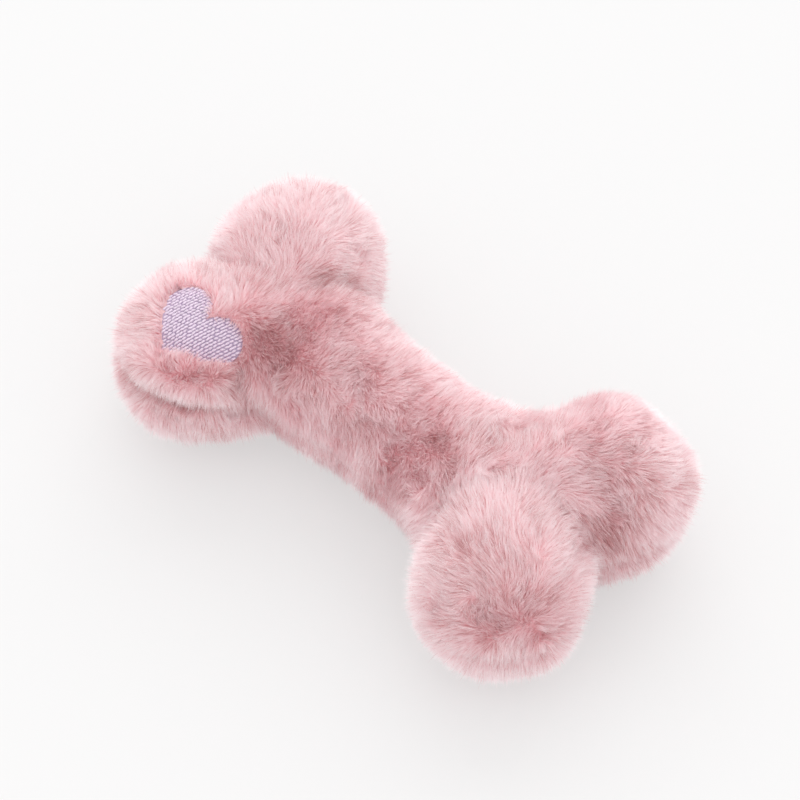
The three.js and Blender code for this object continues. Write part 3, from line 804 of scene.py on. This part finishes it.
def onLevel(across, up, level):
    # lifts places in the heart's plane to a level of the bone's form
    starts = heartPlace(across, up) - stitching["startDepth"] * heartOut
    directions = np.broadcast_to(heartOut, starts.shape)
    return firstCrossing(starts, directions, lambda points: formDistance(points) + level, stitching["reach"])


def heartSheet(margin, top, depth, spokes=180, rings=26):
    turns = np.linspace(0, 2 * np.pi, spokes + 1)
    across = np.sin(turns) ** 3 * (heart["width"] / 2 + margin)
    up = heartOutline(turns)[1] * (1 + 2 * margin / heart["length"]) + margin / 2
    share = np.linspace(0, 1, rings + 1)[:, None]
    outer = onLevel(share * across, heart["middleUp"] + share * (up - heart["middleUp"]), top).reshape(-1, 3)
    count = len(outer)
    rim = np.arange(count - spokes - 1, count - 1)
    front = gridFaces(rings + 1, spokes + 1)
    faces = np.concatenate([front[:, ::-1], front + count, stack(rim, rim + count, rim + count + 1, rim + 1)])
    return np.concatenate([outer, outer - depth * heartOut]), faces


def fillStitches():
    # slanted rows of stitches, every second row shifted by half a stitch, each one arched out of the ground
    lean = math.radians(stitching["lean"])
    rows, steps = int(heart["width"] / stitching["rows"]), 12
    grid = np.meshgrid(np.arange(-rows, rows + 1), np.arange(-steps, steps + 1))
    row, step = [part.ravel() for part in grid]
    draw = np.random.default_rng(51)
    wander = draw.uniform(-stitching["wander"], stitching["wander"], len(row))
    along = (step + 0.5 * (row % 2) + wander) * stitching["pitch"]
    beside = row * stitching["rows"]
    across = along * math.sin(lean) + beside * math.cos(lean)
    up = along * math.cos(lean) - beside * math.sin(lean)
    inside = heartGap(heartPlace(across, up)) < -stitching["inset"]
    across, up = across[inside], up[inside]
    share = np.linspace(-1, 1, 7)
    slant = lean + draw.uniform(-stitching["leanSpread"], stitching["leanSpread"], len(across))[:, None]
    reach = share * stitching["length"] / 2
    across, up = across[:, None] + reach * np.sin(slant), up[:, None] + reach * np.cos(slant)
    paths = onLevel(across, up, stitching["ground"])
    paths += ((1 - share**4) * stitching["height"] - stitching["sink"])[:, None] * heartOut
    radii = stitching["width"] * np.sqrt(1.02 - share**6 * stitching["taper"])
    return tubeMesh(paths, radii[None, :, None], 8)


def addHeart():
    ground = heartSheet(0, stitching["ground"], stitching["groundDepth"])
    sheet = heartSheet(stitching["sheetMargin"], stitching["sheetTop"], stitching["sheetDepth"])
    addPiece("heart_underlay", ground, underlayFinish, "heart_embroidery", "left")
    addPiece("heart_stitches", fillStitches(), threadFinish, "heart_embroidery", "left")
    addPiece("heart_backing_sheet", sheet, sheetFinish, "heart_stabiliser", "left")
    print("heart")


# The turned-in edges of both panels, sewn together, behind the groove that the seam draws.
allowance = dict(reach=6, thickness=0.75, spread=1.4, sink=0.9, ripple=0.25, gap=0.04)


def allowanceMesh(outerLine, inwards):
    # two strips from the seam inwards, one over the other, that part a little at their cut edges
    share = np.linspace(0, 1, 9)[None, :, None]
    half = allowance["thickness"] / 2 * np.array([0, 0, 1])
    strips = []
    for side in (-1, 1):
        ripple = allowance["ripple"] * waves(outerLine * (1, 1, 0), 9, 60 + side)[:, None, None] * share
        rise = (allowance["thickness"] + allowance["gap"] + allowance["spread"] * share**2) / 2
        middle = outerLine[:, None] + inwards[:, None] * (allowance["sink"] + allowance["reach"] * share)
        middle = middle + (side * rise + ripple) * np.array([0, 0, 1])
        strips.append(slabMesh(middle + half, middle - half))
    return joinMeshes(*strips)


def addAllowances():
    back, last = skin["turns"] // 2, len(stations) - 1
    lines = dict(
        left_end=[(0, np.arange(leftMark, -1, -1)), (back, np.arange(1, leftMark + 1))],
        right_end=[(0, np.arange(rightMark, last + 1)), (back, np.arange(last - 1, rightMark - 1, -1))],
        shaft_front=[(0, np.arange(leftMark, rightMark + 1))],
        shaft_back=[(back, np.arange(leftMark, rightMark + 1))],
    )
    for name, stretches in lines.items():
        line, inwards = [np.concatenate([grid[rows, column] for column, rows in stretches])
                         for grid in (skinPoints, -skinDirections)]
        line[:, 2] = centreHeight
        mesh = allowanceMesh(line, inwards)
        addPiece("turned_edges_" + name, mesh, backingFinish, "seam_allowance_" + name,
                 name.split("_")[0])
    print("seam")


# The hand-sewn ladder stitches that close the back of the shaft.
closing = dict(length=50, stitches=12, crossing=1.6, rise=1.25, dip=0.45, thread=0.35, twist=1.6,
               plyRelief=0.15)


def addClosingThread():
    # a thread that crosses the seam at every stitch and dips under the fabric between two of them
    share = np.linspace(0, 1, closing["stitches"] * 16 + 1)
    swing = closing["crossing"] * np.cos(share * closing["stitches"] * np.pi)
    swing = np.clip(swing, -1, 1) * closing["rise"]
    starts = stack((share - 0.5) * closing["length"], 0, centreHeight + swing)
    path = firstCrossing(starts, np.broadcast_to((0.0, 1.0, 0.0), starts.shape), skinDistance, skin["reach"])
    path[:, 1] -= closing["dip"] * np.cos(share * closing["stitches"] * 2 * np.pi)
    turns = 2 * np.pi * np.arange(12) / 12
    plies = np.cos(3 * (turns - closing["twist"] * (share * closing["length"])[:, None]))
    relief = 1 - closing["plyRelief"] + closing["plyRelief"] * plies
    thread = tubeMesh(path[None], closing["thread"] * relief[None], 12)
    addPiece("ladder_stitches", thread, sewingFinish, "closing_thread", "shaft")


# The squeaker, and the filling: wads of fibre that keep clear of the cover, the squeaker and one another.
squeaker = dict(base=23.5, height=22, diameter=30, pleats=3, pleatDepth=2.4, pleatRound=0.8, wall=0.8,
                edge=2, sleeveDiameter=9, sleeveWall=0.9, sleeveLength=10, sleeveTaper=0.15,
                sleeveRounding=0.2, flangeDiameter=12, flangeThickness=1, bedGap=0.25, channelWidth=1.6,
                channelDepth=1.2, clampLength=3.4, ease=0.12, reedWidth=2.4, reedLength=8,
                reedThickness=0.15, reedInset=0.4, tipFrom=0.93, tipNarrowing=0.4, bowFrom=0.35, bow=0.05,
                gap=0.3)
flangeBase = squeaker["base"] - squeaker["gap"] - squeaker["flangeThickness"]
bulbMiddle = squeaker["base"] + squeaker["height"] / 2
filling = dict(level=7.6, underSkin=1.8, gap=0.3, pocketHalf=22, inset=0.4, wellInside=-20,
               ballGap=0.8, sheetGap=0.8, knuckleRounding=5, knuckleLumps=(0.35, 0.2, 0.5),
               topGap=0.5, shaftRounding=3, shaftLumps=(0.3, 0.15, 0.4),
               collarInset=0.5, collarRounding=2, collarLump=0.2, collarLevel=0.25, ringRadius=17.9,
               curls=850, curlArc=(0.7, 1.8), curlCells=2.6, curlSizes=(0.5, 1.2), curlMargin=6,
               curlRise=0.12, curlTuck=2.5, fibre=0.07)


def smoothMost(values, radius):
    # the most of several distances, with rounded edges
    most = values[0]
    for value in values[1:]:
        most = -smoothLeast(-most, -value, radius)
    return most


def unevenness(points, lumps, seed):
    # coarse and fine lumps, and the level that keeps them inside a wad's room
    coarse, fine, level = lumps
    return coarse * waves(points, 7, seed) + fine * waves(points, 3, seed + 1) + level


def wadLimits(points):
    return [formDistance(points) + filling["level"], skinDistance(points) + filling["underSkin"]]


def knuckleWad(knuckle):
    # a knuckle's filling: inside the cover, outside the shaft's ball and on its own side of the toy's middle
    def distance(points):
        limits = wadLimits(points)
        ball = bend["ballRadius"] + filling["ballGap"] + filling["gap"]
        limits.append(ball - hingeReach(points, knuckle["end"])[1])
        limits.append(1.5 * filling["gap"] - knuckle["side"] * points[..., 1])
        if knuckle is heartKnuckle:
            underSheet = stitching["sheetTop"] + stitching["sheetDepth"] + filling["sheetGap"]
            pastSheet = np.clip(heartGap(points) - stitching["sheetMargin"], 0, 9)
            limits.append(formDistance(points) + underSheet - 3 * pastSheet)
        lumps = unevenness(points, filling["knuckleLumps"], 71)
        return smoothMost(limits, filling["knuckleRounding"]) + lumps
    return distance


def shaftWad(low, high, lowZ, highZ):
    # a stretch of the shaft's filling, between two stations and two heights
    def distance(points):
        x, y, z = np.moveaxis(points, -1, 0)
        limits = wadLimits(points)
        limits += [gap + filling["inset"] for gap in (low - x, x - high, lowZ - z, z - highZ)]
        for end in (-1, 1):
            beyond, reach = hingeReach(points, end)
            atBall = reach - bend["ballRadius"] + filling["gap"]
            limits.append(np.where(beyond > 0, atBall, filling["wellInside"]))
        atFlange = np.minimum(squeaker["flangeDiameter"] / 2 - np.hypot(x, y), z - flangeBase)
        limits.append(np.where(z < bulbMiddle, atFlange + 2 * filling["gap"], filling["wellInside"]))
        return smoothMost(limits, filling["shaftRounding"]) + unevenness(points, filling["shaftLumps"], 73)
    return distance


def collarWad(points):
    # the filling round the squeaker
    limits = wadLimits(points) + [np.abs(points[..., 0]) - filling["pocketHalf"] + filling["inset"]]
    limits.append(np.abs(points[..., 2] - bulbMiddle) - squeaker["height"] / 2 + filling["collarInset"])
    limits.append(squeaker["diameter"] / 2 + 2 * filling["gap"] - np.hypot(points[..., 0], points[..., 1]))
    lumps = filling["collarLump"] * waves(points, 6, 75)
    return smoothMost(limits, filling["collarRounding"]) + lumps + filling["collarLevel"]


def roundRays(centre, rows=54, columns=72):
    # rays from a middle point in every direction
    polar = np.linspace(0, np.pi, rows + 1)[:, None]
    turn = np.linspace(0, 2 * np.pi, columns + 1)[None]
    directions = stack(np.sin(polar) * np.cos(turn), np.sin(polar) * np.sin(turn), np.cos(polar))
    return np.array(centre, float), directions


def ringRays(rows=96, columns=36):
    # rays in upright planes, from a circle about the squeaker's axis
    turn = np.linspace(0, 2 * np.pi, rows + 1)[:, None]
    polar = np.linspace(0, 2 * np.pi, columns + 1)
    directions = stack(np.cos(turn) * np.cos(polar), np.sin(turn) * np.cos(polar), np.sin(polar))
    radius = filling["ringRadius"]
    return stack(np.cos(turn) * radius, np.sin(turn) * radius, bulbMiddle), directions


def looseFibres(grid, directions, seed):
    # crimped fibres that lie in arcs over a wad, a little off it in the middle and tucked in at their ends
    draw = np.random.default_rng(seed)
    rows, columns = grid.shape[0] - 1, grid.shape[1] - 1
    count, share = filling["curls"], np.linspace(-1, 1, 8)
    sweep = draw.uniform(*filling["curlArc"], (count, 1)) * share + draw.uniform(0, 2 * np.pi, (count, 1))
    radius = filling["curlCells"] * draw.uniform(*filling["curlSizes"], (count, 1))
    margin = filling["curlMargin"]
    row = draw.uniform(margin, rows - margin, (count, 1)) + radius * np.cos(sweep)
    column = draw.uniform(0, columns, (count, 1)) + radius * np.sin(sweep)
    rise = (filling["curlRise"] * (1 - filling["curlTuck"] * share**2))[:, None]
    paths = onGrid(grid, row, column) + rise * onGrid(directions, row, column)
    return tubeMesh(paths, filling["fibre"], 3)


def addWad(name, distance, rays, seed, how, reach=60, node=None):
    starts, directions = rays
    grid = firstCrossing(np.broadcast_to(starts, directions.shape), directions, distance, reach)
    surface = (grid.reshape(-1, 3), gridFaces(*grid.shape[:2]))
    mesh = joinMeshes(surface, looseFibres(grid, directions, seed))
    addPiece("fibre_" + name, mesh, fibreFinish, "filling_" + (node or name), how)


def addFilling():
    for order, knuckle in enumerate(knuckleTable):
        name, rays = "knuckle_" + knuckle["name"], roundRays(knuckle["centre"])
        addWad(name, knuckleWad(knuckle), rays, 80 + order, followOf(name))
    half, gap = filling["pocketHalf"], filling["gap"]
    under, over = squeaker["base"] - gap, squeaker["base"] + squeaker["height"] + gap + filling["topGap"]
    wads = dict(
        left=(shaftWad(-99, -half - gap, 0, 99), (-42, 0, centreHeight), "left"),
        right=(shaftWad(half + gap, 99, 0, 99), (42, 0, centreHeight), "right"),
        lower=(shaftWad(-half, half, 0, under), (0, 0, 17), "shaft"),
        upper=(shaftWad(-half, half, over, 99), (0, 0, 50.5), "squeeze_zone"),
    )
    for order, (name, (distance, centre, how)) in enumerate(wads.items()):
        addWad("shaft_" + name, distance, roundRays(centre), 90 + order, how)
    addWad("round_squeaker", collarWad, ringRays(), 95, "squash", reach=30, node="squeaker_collar")
    print("filling")


def bulbProfile():
    # down the pleated outside, in to the mouth and up the inside at a wall's distance
    half, height = squeaker["diameter"] / 2, squeaker["height"]
    edge, wall = squeaker["edge"], squeaker["wall"]
    share = np.linspace(0, 1, 97)
    swell = 0.5 + 0.5 * np.cos(share * squeaker["pleats"] * 2 * np.pi)
    radius = half - squeaker["pleatDepth"] * (1 - swell ** squeaker["pleatRound"])
    pleats = stack(radius, height - edge - share * (height - 2 * edge))
    mouth = squeaker["sleeveDiameter"] / 2 + squeaker["gap"]
    turn = np.linspace(0, np.pi / 2, 9)
    shoulder = stack(half - edge + edge * np.sin(turn), height - edge + edge * np.cos(turn))
    middle = np.concatenate([shoulder, pleats[1:-1], (shoulder * (1, -1) + (0, height))[::-1]])
    slope = np.gradient(middle, axis=0)
    inner = middle + unit(stack(slope[:, 1], -slope[:, 0])) * wall
    ends = [(0, height)], [(mouth, 0), (mouth, wall)], [(0, height - wall)]
    return np.concatenate([ends[0], middle, ends[1], inner[::-1], ends[2]]) + (0, squeaker["base"])


def plugHalf(side, height, channelFrom):
    # one half of the plug, with eased ends; the bed's flat side has a channel from a height upwards
    bore = squeaker["sleeveDiameter"] / 2 - squeaker["sleeveWall"] - squeaker["gap"]
    flat = squeaker["reedThickness"] / 2 + squeaker["bedGap"]
    half, depth, eased = squeaker["channelWidth"] / 2, squeaker["channelDepth"], squeaker["ease"]
    start = math.asin(flat / bore)
    turn = np.linspace(start, np.pi - start, 40)
    levels = [(0, eased), (eased, 0), (channelFrom, 0), (channelFrom, 0),
              (height - eased, 0), (height, eased)]
    rings = []
    for order, (level, ease) in enumerate(levels):
        cut = depth if order > 2 and channelFrom < height / 2 else 0.002
        arc = stack(np.cos(turn) * (bore - ease), np.maximum(np.sin(turn) * (bore - ease), flat + ease))
        notch = [(-half, flat + ease), (-half, flat + cut), (half, flat + cut), (half, flat + ease)]
        line = np.concatenate([arc, notch])
        rings.append(stack(line[:, 0], side * line[:, 1], flangeBase + level))
    low = np.arange(len(rings[0]) * len(levels)).reshape(len(levels), -1)
    ahead = np.roll(low, -1, axis=1)
    faces = stack(low[:-1], ahead[:-1], ahead[1:], low[1:]).reshape(-1, 4).tolist()
    return np.concatenate(rings), faces + [low[0, ::-1].tolist(), low[-1].tolist()]


def addPlugHalf(name, node, mesh):
    data = bpy.data.meshes.new(name)
    data.from_pydata((mesh[0] * mm + axisPlace).tolist(), [], mesh[1])
    standFor(link(name, data, plugFinish), node, "shaft")


def addSqueaker():
    bulb = latheMesh(bulbProfile(), 128)
    addPiece("pleated_bulb", bulb, bulbFinish, "squeaker_bulb", "squash")
    outer, flange = squeaker["sleeveDiameter"] / 2, squeaker["flangeDiameter"] / 2
    bore, low = outer - squeaker["sleeveWall"], flangeBase
    step, top = low + squeaker["flangeThickness"], low + squeaker["sleeveLength"]
    corners = [(bore, low), (flange, low), (flange, step), (outer, step),
               (outer - squeaker["sleeveTaper"], top), (bore, top)]
    sleeve = latheMesh(roundedLine(corners, squeaker["sleeveRounding"]), 96)
    addPiece("flanged_sleeve", sleeve, plugFinish, "squeaker_sleeve", "shaft")
    bedHeight, clampHeight = squeaker["sleeveLength"] - squeaker["reedInset"], squeaker["clampLength"]
    addPlugHalf("grooved_bed", "squeaker_reed_bed", plugHalf(-1, bedHeight, clampHeight))
    addPlugHalf("clamp_half", "squeaker_reed_clamp", plugHalf(1, clampHeight, clampHeight - 0.5))
    # the reed: a strip with a rounded free end and a slight bow
    along = np.linspace(0, 1, 33)[:, None]
    beside = squeaker["reedWidth"] / 2 * np.linspace(-1, 1, 13)
    atTip = np.clip((along - squeaker["tipFrom"]) / (1 - squeaker["tipFrom"]), 0, 1)
    narrow = np.sqrt(1 - atTip**2 * squeaker["tipNarrowing"])
    rise = low + squeaker["reedInset"] + squeaker["reedLength"] * along
    bow = squeaker["bow"] * np.clip(along - squeaker["bowFrom"], 0, 1) ** 2
    middle = stack(beside * narrow, bow, rise)
    half = squeaker["reedThickness"] / 2 * np.array([0, 1, 0])
    strip = slabMesh(middle - half, middle + half)
    addPiece("film_reed", strip, filmFinish, "squeaker_reed", "reed")
    print("squeaker")


addBacking()
addHeart()
addAllowances()
addClosingThread()
addFilling()
addSqueaker()
addFur()

# The camera stands where the photograph was taken from.
view = dict(azimuth=42.47, elevation=55.36, distance=1500, lens=171.6, sensor=36,
            aim=(0, 0, 34.6), aimRight=1.88, aimUp=9.04)
# Soft light from above and behind, and an even white room.
light = dict(sunTowards=(-0.5, 0.65, 0.45), sunStrength=1.3, sunAngle=70, roomStrength=1.08,
             floorColour="dfdede", floorSize=8, whiteShare=0.52)


def addCamera():
    azimuth, elevation = math.radians(view["azimuth"]), math.radians(view["elevation"])
    right = np.array([math.cos(azimuth), math.sin(azimuth), 0])
    back = math.sin(elevation) * np.array([0, 0, 1]) - math.cos(elevation) * np.cross((0, 0, 1), right)
    up = np.cross(back, right)
    place = np.array(view["aim"]) + view["aimRight"] * right + view["aimUp"] * up + view["distance"] * back
    camera = link("camera", bpy.data.cameras.new("camera"))
    camera.data.lens = view["lens"]
    camera.data.sensor_width = view["sensor"]
    camera.data.clip_end = 20
    turn = Matrix([right, up, back]).transposed().to_4x4()
    camera.matrix_world = Matrix.Translation(Vector(place * mm + axisPlace)) @ turn
    bpy.context.scene.camera = camera


def seenPlainly(owner):
    # 1 for what the camera sees, straight, mirrored or through a clear piece
    ray = addNode(owner, "LightPath").outputs
    seen = ray["Is Camera Ray"]
    for other in ("Is Glossy Ray", "Is Transmission Ray"):
        seen = addNode(owner, "Math", {"operation": "MAXIMUM"}, {0: seen, 1: ray[other]}).outputs[0]
    return seen


def addLight():
    sun = bpy.data.lights.new("window", "SUN")
    sun.energy = light["sunStrength"]
    sun.angle = math.radians(light["sunAngle"])
    link("window", sun).rotation_euler = Vector(light["sunTowards"]).to_track_quat("Z", "Y").to_euler()
    world = bpy.data.worlds.new("room")
    world.use_nodes = True
    world.node_tree.nodes.clear()
    room, white = [addNode(world, "Background", {"Color": (1, 1, 1, 1), "Strength": strength}).outputs[0]
                   for strength in (light["roomStrength"], 1)]
    mix = addNode(world, "MixShader", links={0: seenPlainly(world), 1: room, 2: white})
    addNode(world, "OutputWorld", links={"Surface": mix.outputs[0]})
    bpy.context.scene.world = world


def addFloor():
    # Painted board, matt white; to the camera, a share of it is plain white, so that the shadow stays faint.
    material = newMaterial("painted_board_white")
    board = addNode(material, "BsdfDiffuse", {"Color": linear(light["floorColour"])}).outputs[0]
    white = addNode(material, "Emission", {"Color": (1, 1, 1, 1), "Strength": 1}).outputs[0]
    plainly = {0: seenPlainly(material)}
    share = addNode(material, "Math", {"operation": "MULTIPLY", 1: light["whiteShare"]}, plainly)
    mix = addNode(material, "MixShader", links={0: share.outputs[0], 1: board, 2: white})
    addNode(material, "OutputMaterial", links={"Surface": mix.outputs[0]})
    half = light["floorSize"] / 2 / mm
    points = np.array([(-half, -half, 0), (half, -half, 0), (half, half, 0), (-half, half, 0)])
    addObject("floor", (points, np.array([(0, 1, 2, 3)])), material)


addCamera()
addLight()
addFloor()
bpy.context.scene.view_settings.view_transform = "Standard"
# A dense pale pile passes light on from strand to strand many times.
bpy.context.scene.cycles.max_bounces = 16
bpy.context.scene.cycles.diffuse_bounces = 16
